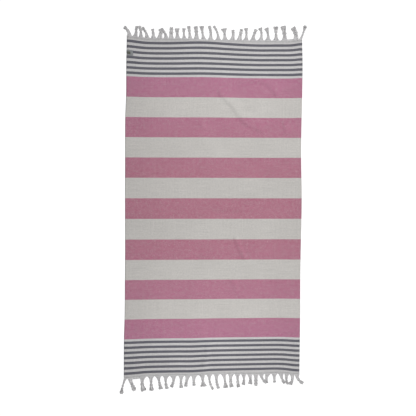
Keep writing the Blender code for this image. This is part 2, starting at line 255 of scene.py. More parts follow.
def weftChanges():
    changes = [weft["bandEdge"] + weft["bandPitch"] * k for k in range(weft["bands"])]
    for k in range(weft["stripes"]):
        centre = weft["firstStripe"] + weft["stripePitch"] * k
        changes += [centre - weft["stripeHalf"], centre + weft["stripeHalf"]]
    return changes


def alongFromWoven(woven):
    bands = weft["bandShift"] + humps(weft["bandStretch"], woven)
    beyond = np.abs(woven) - weft["firstStripe"]
    top, bottom = (level + more * beyond for level, more in weft["stripeShift"].values())
    stripes = np.where(woven > 0, top, bottom)
    lastBand = weft["bandEdge"] + (weft["bands"] - 1) * weft["bandPitch"]
    past = easeIn((np.abs(woven) - lastBand) / weft["shiftChange"])
    return woven + bands * (1 - past) + stripes * past


def wovenFromAlong(along):
    woven = np.linspace(-weft["reach"], weft["reach"], weft["steps"])
    return np.interp(along, alongFromWoven(woven), woven)


# Materials

colours = {  # linear
    "ground": (0.585, 0.560, 0.528),
    "pink": (0.440, 0.124, 0.206),
    "farPink": (0.436, 0.122, 0.238),  # towards both ends the pink turns a little bluer
    "plain": (0.606, 0.596, 0.597),  # the wefts between the stripes and in the hems
    "charcoal": (0.108, 0.107, 0.131),
    "yarn": (0.648, 0.635, 0.633),
    "label": (0.270, 0.278, 0.280),
    "labelPatch": (0.105, 0.110, 0.088),
    "thread": (0.400, 0.400, 0.395),
    "floor": (0.250, 0.250, 0.250),
}


def addNode(tree, kind, inputs=None, output=0, **settings):
    node = tree.nodes.new("ShaderNode" + kind)
    for name, value in settings.items():
        setattr(node, name, value)
    for socket, value in (inputs or {}).items():
        if isinstance(value, bpy.types.NodeSocket):
            tree.links.new(value, node.inputs[socket])
        else:
            node.inputs[socket].default_value = value
    return node.outputs[output]


def calc(tree, operation, a, b=0.0):
    return addNode(tree, "Math", {0: a, 1: b}, operation=operation)


def wave(tree, value, pitch):
    return calc(tree, "SINE", calc(tree, "MULTIPLY", value, math.pi / pitch))


def ribs(tree, value, pitch):
    return calc(tree, "ABSOLUTE", wave(tree, value, pitch))


def noise(tree, place, scale, detail=2.0, roughness=0.5):
    inputs = {"Vector": place, "Scale": scale, "Detail": detail, "Roughness": roughness}
    return addNode(tree, "TexNoise", inputs)


def uvPlace(tree, name):
    place = addNode(tree, "UVMap", uv_map=name)
    u = addNode(tree, "SeparateXYZ", {0: place})
    return place, u, u.node.outputs[1]


def blendValues(tree, share, a, b):
    return addNode(tree, "Mix", {0: share, 2: a, 3: b}, data_type="FLOAT")


def blendColours(tree, how, share, a, b):
    node = addNode(tree, "Mix", data_type="RGBA", blend_type=how).node
    for socket, value in ((0, share), (6, a), (7, b)):
        if isinstance(value, bpy.types.NodeSocket):
            tree.links.new(value, node.inputs[socket])
        else:
            node.inputs[socket].default_value = (*value, 1.0) if isinstance(value, tuple) else value
    return node.outputs[2]


def spread(tree, value, fromLow, fromHigh, toLow, toHigh, kind="LINEAR"):
    inputs = {0: value, 1: fromLow, 2: fromHigh, 3: toLow, 4: toHigh}
    return addNode(tree, "MapRange", inputs, interpolation_type=kind)


def mottled(tree, tone, value, reach):  # the tone goes up and down with a noise, by this share at most
    return calc(tree, "MULTIPLY", tone, spread(tree, value, 0.25, 0.75, 1 - reach, 1 + reach))


def paint(tree, shader, colour, tone):
    shaded = addNode(tree, "VectorMath", {0: colour, 3: tone}, operation="SCALE")
    tree.links.new(shaded, shader.inputs["Base Color"])


def newFinish(name, roughness, sheen):
    material = bpy.data.materials.new(name)
    material.use_nodes = True
    shader = material.node_tree.nodes["Principled BSDF"]
    sockets = {
        "Roughness": roughness,
        "Sheen Weight": sheen,
        "Sheen Roughness": 0.6,
        "Specular IOR Level": 0.25,
    }
    for socket, value in sockets.items():
        shader.inputs[socket].default_value = value
    return material, material.node_tree, shader


def bumpOn(tree, shader, height, distance, strength, before=None):
    inputs = {"Height": height, "Distance": distance, "Strength": strength}
    if before is not None:
        inputs["Normal"] = before
    normal = addNode(tree, "Bump", inputs)
    tree.links.new(normal, shader.inputs["Normal"])
    return normal


weave = {
    "warpPitch": 0.0011,
    "weftPitch": 0.0009,
    "crossingSoft": 0.4,
    "warpShows": {"ground": 0.5, "plain": 0.5, "pink": 0.34, "charcoal": 0.10},
    "through": (0.62, 1.38),
    "paintedGapShade": 0.16,  # painted shade: the spaces between threads are painted this much darker
    "slub": 0.10,
    "warpSlub": 0.05,
    "mottle": 0.10,
    "wear": 0.03,
    "slubThreads": 1.7,  # a slub takes in about this many threads
    "slubsAlongPick": 9.0,  # for each metre
    "slubsAlongWarp": 7.0,
    "mottleScale": 130.0,
    "wearScale": 5.0,
    "throughScale": 55.0,
    "throughRange": (0.30, 0.70),
    "fine": (3.0, 0.6),  # a noise's detail and roughness
    "mottleBump": (0.0010, 0.25),  # depth, strength
    "slubBump": (0.0004, 0.25),
    "threadBump": (0.0003, 0.45),
    "bluer": (0.15, 0.65),  # from the cloth's middle
    "hemFrom": 0.8415,
    "hemTo": 0.8450,
    "hemShade": 0.965,
    "selvedgeWidth": 0.0035,
    "selvedgeSoft": 0.001,
    "selvedgeShade": 0.90,
}


def makeWovenCotton():
    material, tree, shader = newFinish("wovenCotton", roughness=0.88, sheen=0.20)
    place, u, v = uvPlace(tree, "weave")
    fromMiddle = calc(tree, "ABSOLUTE", v)

    # the order of the wefts: pink and ground by turns, then charcoal stripes among plain ones
    isPink = calc(tree, "LESS_THAN", calc(tree, "PINGPONG", fromMiddle, weft["bandPitch"]), weft["bandEdge"])
    isPlain = calc(tree, "GREATER_THAN", fromMiddle, weftChanges()[weft["bands"] - 1])
    stripe = calc(tree, "SUBTRACT", fromMiddle, weft["firstStripe"])
    stripe = calc(tree, "DIVIDE", stripe, weft["stripePitch"])
    nearest = calc(tree, "MAXIMUM", calc(tree, "ROUND", stripe), 0.0)
    nearest = calc(tree, "MINIMUM", nearest, weft["stripes"] - 1)
    away = calc(tree, "ABSOLUTE", calc(tree, "SUBTRACT", stripe, nearest))
    isCharcoal = calc(tree, "LESS_THAN", away, weft["stripeHalf"] / weft["stripePitch"])
    far = spread(tree, fromMiddle, *weave["bluer"], 0.0, 1.0)
    dyed = {**colours, "pink": blendColours(tree, "MIX", far, colours["pink"], colours["farPink"])}
    weftColour, warpShows = colours["ground"], weave["warpShows"]["ground"]
    for share, name in ((isPink, "pink"), (isPlain, "plain"), (isCharcoal, "charcoal")):
        weftColour = blendColours(tree, "MIX", share, weftColour, dyed[name])
        warpShows = blendValues(tree, share, warpShows, weave["warpShows"][name])

    # plain weave
    acrossThreads, alongThreads = wave(tree, u, weave["warpPitch"]), wave(tree, v, weave["weftPitch"])
    crossing, soft = calc(tree, "MULTIPLY", acrossThreads, alongThreads), weave["crossingSoft"]
    warpOver = spread(tree, crossing, -soft, soft, 0.0, 1.0, "SMOOTHSTEP")
    warpRound, weftRound = calc(tree, "ABSOLUTE", acrossThreads), calc(tree, "ABSOLUTE", alongThreads)
    height = blendValues(tree, warpOver, weftRound, warpRound)

    # uneven yarns: each pick has its own tone and thickness, and the cloth is mottled all over
    slubsAcross = 1 / weave["weftPitch"] / weave["slubThreads"]
    pickPlace = addNode(tree, "Mapping", {0: place, 3: (weave["slubsAlongPick"], slubsAcross, 1.0)})
    slub = noise(tree, pickPlace, 1.0)
    slubsAcross = 1 / weave["warpPitch"] / weave["slubThreads"]
    warpPlace = addNode(tree, "Mapping", {0: place, 3: (slubsAcross, weave["slubsAlongWarp"], 1.0)})
    warpSlub = noise(tree, warpPlace, 1.0)
    mottle = noise(tree, place, weave["mottleScale"], *weave["fine"])
    wear = noise(tree, place, weave["wearScale"])

    # the warp shows through more in some places than in others
    through = noise(tree, place, weave["throughScale"], *weave["fine"])
    shows = calc(tree, "MULTIPLY", warpOver, warpShows)
    more = spread(tree, through, *weave["throughRange"], *weave["through"])
    shows = calc(tree, "MULTIPLY", shows, more)
    colour = blendColours(tree, "MIX", shows, weftColour, colours["ground"])
    # painted shade: the cloth is painted darker where the weave lies low, between the threads
    tone = spread(tree, height, 0.0, 1.0, 1 - weave["paintedGapShade"], 1.0)
    for value, name in ((slub, "slub"), (warpSlub, "warpSlub"), (mottle, "mottle"), (wear, "wear")):
        tone = mottled(tree, tone, value, weave[name])

    # the last picks before the fringe are a little darker, and so is each selvedge
    hem = spread(tree, fromMiddle, weave["hemFrom"], weave["hemTo"], 1.0, weave["hemShade"])
    tone = calc(tree, "MULTIPLY", tone, hem)
    edge = clothValues["width"] / 2 - weave["selvedgeWidth"]
    fromCentre, soft = calc(tree, "ABSOLUTE", u), weave["selvedgeSoft"]
    side = spread(tree, fromCentre, edge, edge + soft, 1.0, weave["selvedgeShade"])
    paint(tree, shader, colour, calc(tree, "MULTIPLY", tone, side))

    normal = bumpOn(tree, shader, mottle, *weave["mottleBump"])
    normal = bumpOn(tree, shader, slub, *weave["slubBump"], normal)
    bumpOn(tree, shader, height, *weave["threadBump"], normal)
    return material


# The cloth

clothValues = {
    "thickness": 0.0014,
    "width": 0.90,
    "cellsAcross": 170,
    "plainCell": 0.0075,
    "stripeCell": 0.0062,  # finer from just before the stripes
    "stripesFrom": 0.665,
    "changeHalf": 0.0005,  # a change of weft has a row of vertices this far on either side
}


def wovenRows():
    changes = [-c for c in reversed(weftChanges())] + weftChanges()
    ends = [float(wovenFromAlong(np.array(side * lay["half"]))) for side in (-1, 1)]
    stops = [ends[0] - clothValues["changeHalf"]] + changes + [ends[1] + clothValues["changeHalf"]]
    rows = []
    for low, high in zip(stops, stops[1:]):
        low, high = low + clothValues["changeHalf"], high - clothValues["changeHalf"]
        atStripes = abs(low + high) / 2 > clothValues["stripesFrom"]
        cell = clothValues["stripeCell" if atStripes else "plainCell"]
        rows += list(np.linspace(low, high, max(round((high - low) / cell), 1) + 1))
    return np.array(rows)


def isStripe(woven):
    centres = weft["firstStripe"] + weft["stripePitch"] * np.arange(weft["stripes"])
    away = np.abs(np.abs(woven)[:, None] - centres[None, :]).min(axis=1)
    return away < weft["stripeHalf"]


def makeCloth(finish):
    rows = wovenRows()
    along = alongFromWoven(rows)
    mesh = bmesh.new()
    bmesh.ops.create_grid(mesh, x_segments=clothValues["cellsAcross"], y_segments=len(rows) - 1, size=0.5)
    data = bpy.data.meshes.new("towelCloth")
    mesh.to_mesh(data)
    mesh.free()

    places = np.zeros(len(data.vertices) * 3)
    data.vertices.foreach_get("co", places)
    places = places.reshape(-1, 3)
    across = places[:, 0] + 0.5
    row = np.rint((places[:, 1] + 0.5) * (len(rows) - 1)).astype(int)
    atRow = along[row]
    for end, outward in (("top", 1), ("bottom", -1)):  # past the last stripe the hem fills what is left
        lastChange = outward * float(alongFromWoven(np.array(outward * weftChanges()[-1])))
        stretch = (outward * endAlong(end, across) - lastChange) / (lay["half"] - lastChange)
        past = np.maximum(outward * atRow - lastChange, 0.0)
        atRow = atRow + outward * past * (stretch - 1)
    x, y = clothPlace(across, atRow)
    z = lift(x, y) + weft["stripeRise"] * isStripe(rows)[row]
    data.vertices.foreach_set("co", (np.stack([x, y, z], axis=1) + shift).ravel())

    corners = np.zeros(len(data.loops), int)
    data.loops.foreach_get("vertex_index", corners)
    layer = data.uv_layers.new(name="weave")
    places = np.stack([(across - 0.5) * clothValues["width"], rows[row]], axis=1)
    layer.data.foreach_set("uv", places[corners].ravel())
    data.shade_smooth()
    data.materials.append(finish)
    cloth = bpy.data.objects.new("towelCloth", data)
    bpy.context.scene.collection.objects.link(cloth)
    thickness = cloth.modifiers.new("thickness", "SOLIDIFY")
    thickness.thickness = clothValues["thickness"]
    thickness.offset = 1.0
    return cloth


towelCloth = makeCloth(makeWovenCotton())
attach(towelCloth, "root")
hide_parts("cloth")
print("cloth woven")


# Rods: every yarn, thread and stitch is a straight closed rod that is bent along its path


def makeRod(sides, rings):
    rod = bmesh.new()
    bmesh.ops.create_cone(rod, cap_ends=True, segments=sides, radius1=1.0, radius2=1.0, depth=1.0)
    long = [edge for edge in rod.edges if abs(edge.verts[0].co.z - edge.verts[1].co.z) > 0.5]
    bmesh.ops.subdivide_edges(rod, edges=long, cuts=rings - 1, use_grid_fill=True)
    bmesh.ops.translate(rod, verts=rod.verts, vec=(0.0, 0.0, 0.5))
    layer = rod.loops.layers.uv.new("yarn")
    for face in rod.faces:
        middle = face.calc_center_median()
        around = math.atan2(middle.y, middle.x)
        for loop in face.loops:
            turn = math.atan2(loop.vert.co.y, loop.vert.co.x) - around
            turn = (turn + math.pi) % (2 * math.pi) - math.pi
            loop[layer].uv = ((around + turn) / (2 * math.pi), loop.vert.co.z)
    mesh = bpy.data.meshes.new("rod")
    rod.to_mesh(mesh)
    rod.free()
    return mesh


def bendRods(name, sides, rings, rods, finish):
    rod = makeRod(sides, rings)
    count = len(rod.vertices)
    straight = np.zeros(count * 3)
    rod.vertices.foreach_get("co", straight)
    straight = straight.reshape(-1, 3)
    ring = np.rint(straight[:, 2] * rings).astype(int)
    joined = bmesh.new()
    for _ in rods:
        joined.from_mesh(rod)
    data = bpy.data.meshes.new(name)
    joined.to_mesh(data)
    joined.free()
    places, lengths = [], []
    for path, width, depth in rods:
        forward = np.gradient(path, axis=0)
        forward /= np.linalg.norm(forward, axis=1)[:, None]
        side = np.cross(forward, (0.0, 0.0, 1.0))
        side /= np.linalg.norm(side, axis=1)[:, None]
        up = np.cross(side, forward)
        places.append(
            path[ring]
            + side[ring] * (straight[:, 0] * width[ring])[:, None]
            + up[ring] * (straight[:, 1] * depth[ring])[:, None]
        )
        lengths.append(np.linalg.norm(np.diff(path, axis=0), axis=1).sum())
    data.vertices.foreach_set("co", (np.concatenate(places) + shift).ravel())
    layer = data.uv_layers["yarn"]
    uv = np.zeros(len(data.loops) * 2)
    layer.data.foreach_get("uv", uv)
    uv = uv.reshape(len(rods), -1, 2)
    uv[:, :, 1] *= np.array(lengths)[:, None]
    uv[:, :, 0] += np.arange(len(rods))[:, None] * 2  # whole turns, by which the finish tells rods apart
    layer.data.foreach_set("uv", uv.ravel())
    data.shade_smooth()
    data.materials.append(finish)
    bpy.data.meshes.remove(rod)
    thing = bpy.data.objects.new(name, data)
    bpy.context.scene.collection.objects.link(thing)
    return thing


# The tassels

tassel = {
    "edge": 0.0043,  # from the end of the cloth to where a tassel leaves the heading
    "inside": 0.0038,  # how far its yarns start inside the heading
    "rootHalf": 0.0190,
    "rootMargin": 0.0003,
    "fan": 0.0225,
    "fanCurve": 2.1,
    "yarnsInPly": 10,
    "yarnHalf": 0.00102,
    "fanWide": 1.15,  # the yarns lie flatter where they fan out
    "plyOff": 0.0036,
    "plyRing": 0.0028,
    "flatness": 0.56,  # a tassel sags where it lies, to this share of its width
    "plyPhase": 0.37,
    "startTurn": 0.2,
    "rootUp": 0.0009,
    "rootStagger": 0.0003,  # yarns start this much higher and lower by turns
    "depth": (0.80, 0.10),  # counted in yarnHalf: at the root, and how much more past the fan
    "endSide": (0.88, 1.0),
    "endUp": (0.7, 3.0),  # mm
    "endShorter": 0.0022,
    "endTaper": {"brush": 0.25, "blunt": 0.10},
    "lastRing": 0.7,
    "bluntWidth": 0.0145,
    "looser": 0.22,  # how much thicker its twist is at the far end than at the fan
    "plyTurn": 0.019,  # in which a yarn goes once round its ply
    "halfTurn": 0.0125,  # in which the two plies change sides, roughly
    "brushFrom": 0.0130,
    "ringsInFan": 8,
    "ringsInBrush": 9,
    "ringsInBlunt": 4,
    "rings": 36,
    "yarnSides": 5,
    "threadSides": 4,
    "threadsInBrush": 2300,  # for each metre of its width
    "threadsInBlunt": 1200,
    "threadHalf": 0.00030,
    "threadRings": 6,
    "stemShadeFrom": (0.010, 0.026),  # painted shade: a yarn is painted darker between these lengths from its start, standing for the shade inside a tassel's twisted stem
    "paintedStemShade": 0.87,
    "hookRadius": 0.0055,
    "pointed": (("top", 7), ("top", 25), ("bottom", 0), ("bottom", 1), ("bottom", 18)),
    "hooks": {("top", 1): (0.040, 0.030), ("bottom", 23): (0.040, 0.026)},  # where a tip bends, its length
    # share of the loose end's length, share of its spread
    "looseSpread": ((0.0, 0.0), (0.30, 0.55), (0.70, 1.0), (1.0, 0.95)),
    "pointedSpread": ((0.0, 0.0), (0.30, 0.60), (0.60, 1.0), (1.0, 0.15)),
    "seeds": {"top": 21, "bottom": 22},
    "top": (  # root from the left corner, lean, bow, length, width and length of the loose end, thickness
        (0.013, -0.028, 0.008, 0.045, 0.011, 0.008, 1.12),
        (0.044, 0.003, 0.003, 0.047, 0.011, 0.008, 1.05),
        (0.073, -0.001, 0, 0.047, 0.011, 0.008, 1.05),
        (0.103, -0.025, 0.007, 0.053, 0.011, 0.008, 1),
        (0.137, -0.005, 0.001, 0.048, 0.011, 0.008, 1.05),
        (0.167, 0.006, 0.004, 0.049, 0.011, 0.010, 1.35),
        (0.203, -0.029, 0.006, 0.050, 0.011, 0.008, 1.05),
        (0.227, 0.002, 0, 0.058, 0.018, 0.030, 1.35),
        (0.26, -0.003, 0, 0.052, 0.024, 0.019, 1.1),
        (0.295, -0.002, -0.002, 0.053, 0.018, 0.015, 0.88),
        (0.324, -0.008, 0.001, 0.065, 0.018, 0.026, 0.95),
        (0.356, -0.005, 0.003, 0.065, 0.021, 0.030, 1.25),
        (0.394, -0.01, -0.002, 0.069, 0.025, 0.022, 0.9),
        (0.428, -0.007, 0.005, 0.071, 0.010, 0.014, 1.05),
        (0.468, -0.024, 0.007, 0.071, 0.010, 0.008, 0.9),
        (0.502, -0.006, 0.0015, 0.059, 0.031, 0.020, 1),
        (0.541, 0.001, 0.003, 0.052, 0.011, 0.008, 1.08),
        (0.576, 0.012, 0, 0.056, 0.011, 0.022, 1.15),
        (0.609, 0, 0.003, 0.062, 0.019, 0.015, 0.9),
        (0.646, 0.017, -0.003, 0.056, 0.011, 0.008, 1.1),
        (0.685, -0.004, 0.006, 0.064, 0.020, 0.016, 0.92),
        (0.722, -0.01, 0.005, 0.063, 0.024, 0.020, 0.95),
        (0.764, -0.002, 0, 0.071, 0.025, 0.030, 1),
        (0.808, -0.009, 0.002, 0.074, 0.027, 0.040, 1.35),
        (0.866, -0.017, 0.005, 0.063, 0.027, 0.030, 1.45),
        (0.8915, 0.0225, 0.001, 0.070, 0.020, 0.024, 0.74),
    ),
    "bottom": (
        (0.007, -0.019, -0.003, 0.079, 0.022, 0.026, 0.76),
        (0.03, 0.026, 0.001, 0.063, 0.024, 0.027, 1.25),
        (0.097, 0.007, -0.005, 0.071, 0.028, 0.037, 1.2),
        (0.139, 0.0035, 0, 0.072, 0.023, 0.031, 1),
        (0.177, 0.013, 0, 0.066, 0.021, 0.024, 1),
        (0.216, 0.0065, -0.004, 0.065, 0.018, 0.024, 0.93),
        (0.254, -0.012, 0.006, 0.057, 0.011, 0.008, 1.08),
        (0.295, 0, -0.002, 0.062, 0.019, 0.026, 0.93),
        (0.328, -0.0115, -0.001, 0.055, 0.011, 0.010, 1.1),
        (0.359, 0.001, -0.001, 0.051, 0.011, 0.008, 1.03),
        (0.402, 0.006, 0, 0.059, 0.032, 0.021, 1.05),
        (0.438, 0.02, -0.007, 0.076, 0.010, 0.026, 0.85),
        (0.475, 0.011, -0.005, 0.073, 0.011, 0.012, 1.05),
        (0.512, 0.01, 0.001, 0.070, 0.026, 0.026, 0.88),
        (0.548, 0.004, -0.003, 0.067, 0.021, 0.034, 1.1),
        (0.582, 0.006, -0.002, 0.067, 0.019, 0.030, 0.95),
        (0.613, -0.002, 0.003, 0.054, 0.019, 0.024, 0.85),
        (0.644, 0.002, 0.003, 0.050, 0.023, 0.021, 1.05),
        (0.677, -0.001, -0.001, 0.059, 0.020, 0.030, 1.25),
        (0.702, 0.025, -0.005, 0.042, 0.011, 0.008, 1),
        (0.736, -0.004, -0.005, 0.047, 0.017, 0.018, 0.98),
        (0.77, 0.002, -0.001, 0.045, 0.010, 0.008, 0.92),
        (0.805, 0.019, -0.005, 0.049, 0.011, 0.012, 1),
        (0.834, 0.003, -0.004, 0.049, 0.011, 0.008, 0.95),
        (0.861, -0.009, 0.005, 0.051, 0.011, 0.008, 1.02),
        (0.887, 0.032, -0.0095, 0.043, 0.011, 0.008, 1.05),
    ),
}

yarn = {
    "strands": 3.0,
    "turnLength": 0.0016,
    # painted shade in the crevices between a yarn's strands
    "paintedStrandShade": 0.86,
    "ownShade": (0.93, 1.05),
    "fuzz": 0.06,
    "fuzzScale": 900.0,
    "fuzzBump": (0.0003, 0.3),  # depth, strength
    "strandBump": (0.00025, 0.6),
}


def twisted(tree, around, length, values):  # the strands of a yarn, which wind round it
    turns = calc(tree, "MULTIPLY", around, values["strands"])
    turns = calc(tree, "ADD", turns, calc(tree, "DIVIDE", length, values["turnLength"]))
    return ribs(tree, turns, 1.0)


def makeYarnCotton(name, paintedStemShade):
    material, tree, shader = newFinish(name, roughness=0.90, sheen=0.20)
    around, length = uvPlace(tree, "yarn")[1:]
    whole = calc(tree, "FLOOR", calc(tree, "DIVIDE", calc(tree, "ADD", around, 0.5), 2.0))
    own = addNode(tree, "TexWhiteNoise", {1: whole}, noise_dimensions="1D")
    strands = twisted(tree, around, length, yarn)
    fuzz = noise(tree, addNode(tree, "TexCoord", output=3), yarn["fuzzScale"])
    # painted shade: darker in the crevices between the strands
    tone = spread(tree, strands, 0.0, 1.0, yarn["paintedStrandShade"], 1.0)
    tone = calc(tree, "MULTIPLY", tone, spread(tree, own, 0.0, 1.0, *yarn["ownShade"]))
    tone = mottled(tree, tone, fuzz, yarn["fuzz"])
    # painted shade along a tassel's twisted stem and past it
    tone = calc(tree, "MULTIPLY", tone, spread(tree, length, *tassel["stemShadeFrom"], 1.0, paintedStemShade))
    paint(tree, shader, colours["yarn"], tone)
    normal = bumpOn(tree, shader, fuzz, *yarn["fuzzBump"])
    bumpOn(tree, shader, strands, *yarn["strandBump"], normal)
    return material


def endWidth(end):
    along = np.array(lay["half"] if end == "top" else -lay["half"])
    return float(selvedgeX(along, 2) - selvedgeX(along, 1))


def rimPlace(end, across):
    across = np.asarray(across, float)
    return clothPlace(across, endAlong(end, across))


def rootReaches(end):  # how far a tassel's fan reaches to its left and to its right
    roots = [row[0] for row in tassel[end]]
    middles = [0.0] + [(a + b) / 2 for a, b in zip(roots, roots[1:])] + [endWidth(end)]
    most, margin = tassel["rootHalf"], tassel["rootMargin"]
    reaches = [(min(most, root - a), min(most, b - root)) for root, a, b in zip(roots, middles, middles[1:])]
    return [(left - margin, right - margin) for left, right in reaches]


class Line:  # the line that a tassel follows on the floor, and which way is sideways there
    def __init__(self, end, number):
        root, self.lean, self.bow, self.height = tassel[end][number][:4]
        self.spread = tassel["pointedSpread" if (end, number) in tassel["pointed"] else "looseSpread"]
        self.bend, self.hook = tassel["hooks"].get((end, number), (math.inf, 0.0))
        self.length = self.bend + self.hook if self.hook else self.height
        x, y = rimPlace(end, root / endWidth(end))
        near = 0.01
        nearX, nearY = rimPlace(end, (root + np.array([-near, near])) / endWidth(end))
        self.alongHem = np.array([nearX[1] - nearX[0], nearY[1] - nearY[0], 0.0]) / (2 * near)
        self.outward = 1 if end == "top" else -1
        self.root = np.array([float(x), float(y) + self.outward * tassel["edge"], 0.0])
        self.hang = liftAt(*self.root[:2])

    def at(self, distance):
        forward = np.minimum(distance, self.bend)
        share = forward / self.height
        sideways = self.lean * share + 4 * self.bow * share * (1 - share)
        past = np.maximum(distance - self.bend, 0.0) / tassel["hookRadius"]
        turn = np.minimum(past, math.pi / 2)
        sideways = sideways + tassel["hookRadius"] * (1 - np.cos(turn) + past - turn)
        forward = forward + tassel["hookRadius"] * np.sin(turn)
        return self.root + np.stack([sideways, self.outward * forward, 0 * distance], axis=1)

    def sideways(self, distance):
        step = 0.0005
        forward = self.at(distance + step) - self.at(distance - step)
        forward /= np.linalg.norm(forward, axis=1)[:, None]
        return np.stack([forward[:, 1], -forward[:, 0], 0 * distance], axis=1) * self.outward


def plaitTassel(line, row, reach, chance):
    width, loose = max(row[4], tassel["bluntWidth"] * row[6]), row[5]
    isBrush = row[4] > tassel["brushFrom"]
    ringsInLoose = tassel["ringsInBrush" if isBrush else "ringsInBlunt"]
    neck, looseFrom = tassel["fan"], line.length - loose
    stem = looseFrom - neck
    ringsInStem = tassel["rings"] - tassel["ringsInFan"] - ringsInLoose
    stops = (-tassel["inside"], neck, looseFrom, line.length)
    counts = (tassel["ringsInFan"], ringsInStem, ringsInLoose)
    distance = [stops[0]]
    for low, high, count in zip(stops, stops[1:], counts):
        distance += list(np.linspace(low, high, count + 1)[1:])
    distance = np.array(distance)
    base, sideways = line.at(distance), line.sideways(distance)
    thick = row[6] * (1 + tassel["looser"] * np.clip((distance - neck) / stem, 0.0, 1.0))
    flat = tassel["flatness"]
    centreHeight = thick * flat * (tassel["plyOff"] + tassel["plyRing"] + tassel["yarnHalf"])
    halfTurns = max(round(stem / tassel["halfTurn"]), 1)
    start = chance.uniform(-tassel["startTurn"], tassel["startTurn"])
    turned = math.pi * (halfTurns * np.clip((distance - neck) / stem, 0.0, 1.0) + start)
    ownTurn = -2 * math.pi * np.clip(distance - neck, 0.0, stem + loose / 4) / tassel["plyTurn"]
    inFan = np.clip((distance + tassel["inside"]) / (neck + tassel["inside"]), 0.0, 1.0)
    fanShare = 1 - (1 - inFan) ** tassel["fanCurve"]
    # the roots stand along the hem
    sideways = line.alongHem + (sideways - line.alongHem) * easeIn(inFan)[:, None]
    looseShare = np.clip((distance - looseFrom) / loose, 0.0, 1.0)
    spreads = np.interp(looseShare, *zip(*line.spread))
    yarns = []
    for ply in (0, math.pi):
        for k in range(tassel["yarnsInPly"]):
            angle = 2 * math.pi * k / tassel["yarnsInPly"] + ply * tassel["plyPhase"] + ownTurn
            side = tassel["plyOff"] * np.cos(turned + ply) + tassel["plyRing"] * np.cos(angle)
            up = tassel["plyOff"] * np.sin(turned + ply) + tassel["plyRing"] * np.sin(angle)
            yarns.append([thick * side, centreHeight + thick * flat * up])
    atNeck = tassel["ringsInFan"]
    atLoose = tassel["ringsInFan"] + ringsInStem
    inOrder = sorted(range(len(yarns)), key=lambda k: yarns[k][0][atNeck])
    inBrush = sorted(range(len(yarns)), key=lambda k: yarns[k][0][atLoose])
    last = len(yarns) - 1
    rods = []
    for k, (side, up) in enumerate(yarns):
        place, brushPlace = inOrder.index(k), inBrush.index(k)
        rootSide = (reach[0] + reach[1]) * place / last - reach[0]
        rootUp = line.hang + tassel["rootUp"] + tassel["rootStagger"] * (-1) ** place
        endSide = width / 2 * (2 * brushPlace / last - 1) * chance.uniform(*tassel["endSide"])
        endUp = chance.uniform(*tassel["endUp"]) / 1000
        shorter = chance.uniform(0.0, tassel["endShorter"])
        side = (1 - fanShare) * rootSide + fanShare * side
        up = (1 - fanShare) * rootUp + fanShare * up
        side = (1 - spreads) * side + spreads * endSide
        up = (1 - spreads) * up + spreads * endUp
        path = base + sideways * side[:, None]
        path[:, 2] = up
        path[-1] = path[-2] + (path[-1] - path[-2]) * (1 - shorter * counts[2] / loose)
        wide = tassel["yarnHalf"] * (tassel["fanWide"] + (1 - tassel["fanWide"]) * fanShare) * thick
        deep = tassel["yarnHalf"] * (tassel["depth"][0] + tassel["depth"][1] * fanShare) * thick
        taper = 1 - tassel["endTaper"]["brush" if isBrush else "blunt"] * looseShare
        taper[-1] *= tassel["lastRing"]
        path[:, 2] = np.maximum(path[:, 2], deep * taper)
        rods.append((path, wide * taper, deep * taper))
    return rods


looseThread = {
    "from": (-0.05, 0.40),  # shares of the loose end
    "to": (0.84, 1.03),
    "bundleHalf": 0.0030,  # how far they lie to each side where the loose end begins
    "wander": (0.0002, 0.0008),
    "wanderLength": (0.004, 0.010),
    "wanderPhase": 6,
    "upFrom": (1.5, 5.5),  # mm
    "upTo": (0.5, 3.4),
    "thinner": 0.5,
}


def looseThreads(line, row, chance):
    width, loose = row[4], row[5]
    isBrush = width > tassel["brushFrom"]
    count = round(width * tassel["threadsInBrush" if isBrush else "threadsInBlunt"])
    start = line.length - loose
    rods = []
    for _ in range(count):
        low = start + loose * chance.uniform(*looseThread["from"])
        high = start + loose * chance.uniform(*looseThread["to"])
        distance = np.linspace(low, high, tassel["threadRings"] + 1)
        share = np.clip((distance - start) / loose, 0.0, 1.0)
        spreads = np.interp(share, *zip(*line.spread))
        own = chance.uniform(-1.0, 1.0)
        bundle = looseThread["bundleHalf"]
        side = own * (bundle + (width / 2 - bundle) * spreads)
        wander = chance.uniform(*looseThread["wander"])
        wanderLength = chance.uniform(*looseThread["wanderLength"])
        side = side + wander * np.sin(distance / wanderLength + chance.uniform(0, looseThread["wanderPhase"]))
        upLow = chance.uniform(*looseThread["upFrom"]) / 1000
        upHigh = chance.uniform(*looseThread["upTo"]) / 1000
        t = (distance - low) / (high - low)
        path = line.at(distance) + line.sideways(distance) * side[:, None]
        path[:, 2] = np.maximum(upLow + (upHigh - upLow) * t, tassel["threadHalf"])
        half = tassel["threadHalf"] * (1 - looseThread["thinner"] * t**3)
        rods.append((path, half, half))
    return rods


cutTassel = {
    "top": (0.837, 0.020, 0.0078),  # from the left corner, half its width, how far it reaches
    "bottom": (0.0635, 0.026, 0.0085),
    "pitch": 0.0014,
    "rounded": 0.6,  # the share by which its outermost yarns are shorter
    "uneven": (0.75, 1.0),
    "up": 0.0012,
    "upVaries": 0.0002,
    "sideVaries": 0.001,
    "thinner": 0.35,
}


